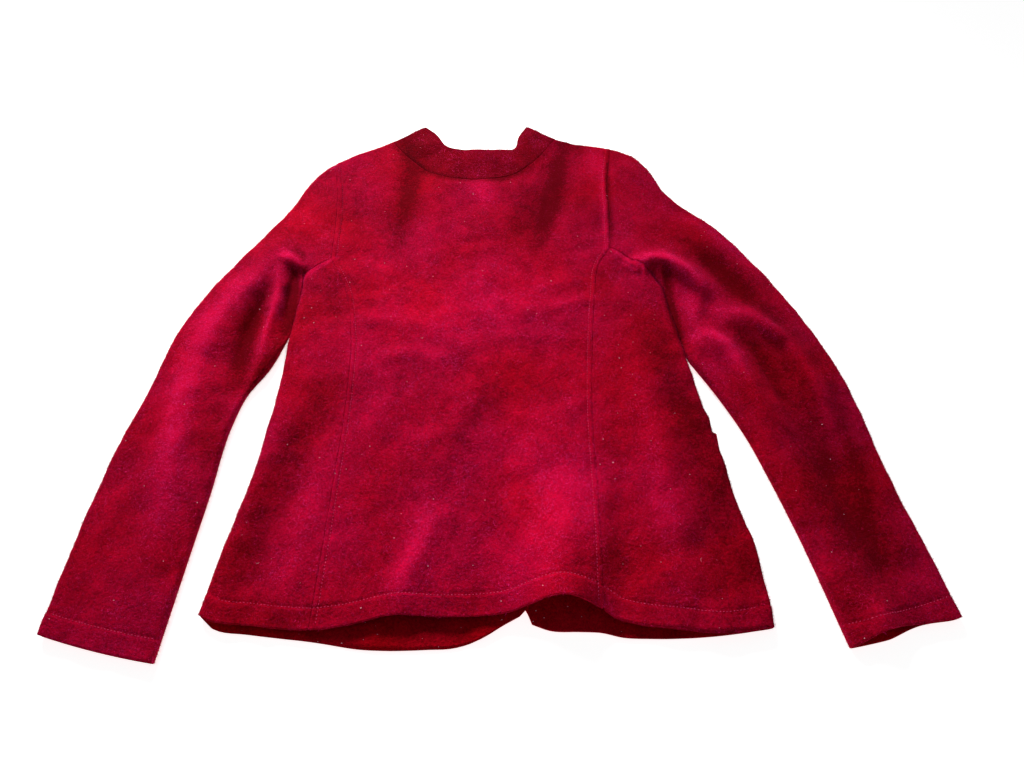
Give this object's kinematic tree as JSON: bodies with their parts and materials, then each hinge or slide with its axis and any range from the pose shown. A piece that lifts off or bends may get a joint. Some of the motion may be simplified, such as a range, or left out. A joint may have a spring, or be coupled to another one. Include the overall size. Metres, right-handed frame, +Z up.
{
  "type": "button cardigan",
  "caption": "Red boiled-wool cardigan with princess seams, stand collar and buttoned front, laid flat with its back up and its sleeves at its sides",
  "frame": {"origin": "on the surface it lies on, under the middle of its outline", "axes": "+X from the wearer's left sleeve to the right one as it lies, +Y from hem to collar, +Z up, away from the surface; the back faces +Z"},
  "size_m": [0.85, 0.689, 0.0305],
  "materials": {
    "wool_back": "matte felted wool with a short nap",
    "wool_side": "matte felted wool with a short nap",
    "wool_front": "matte felted wool with a short nap",
    "wool_sleeve": "matte felted wool with a short nap",
    "wool_collar": "matte felted wool with a short nap",
    "wool_pocket": "matte felted wool with a short nap",
    "button_horn": "satin"
  },
  "bodies": {
    "root": {"back_centre": "wool_back", "back_side_left": "wool_side", "back_side_right": "wool_side", "front_left": "wool_front", "front_right": "wool_front", "sleeve_left": "wool_sleeve", "sleeve_right": "wool_sleeve", "collar": "wool_collar", "pocket_left": "wool_pocket", "pocket_right": "wool_pocket", "button_1": "button_horn", "button_2": "button_horn", "button_3": "button_horn", "button_4": "button_horn", "button_5": "button_horn"}
  },
  "joints": []
}
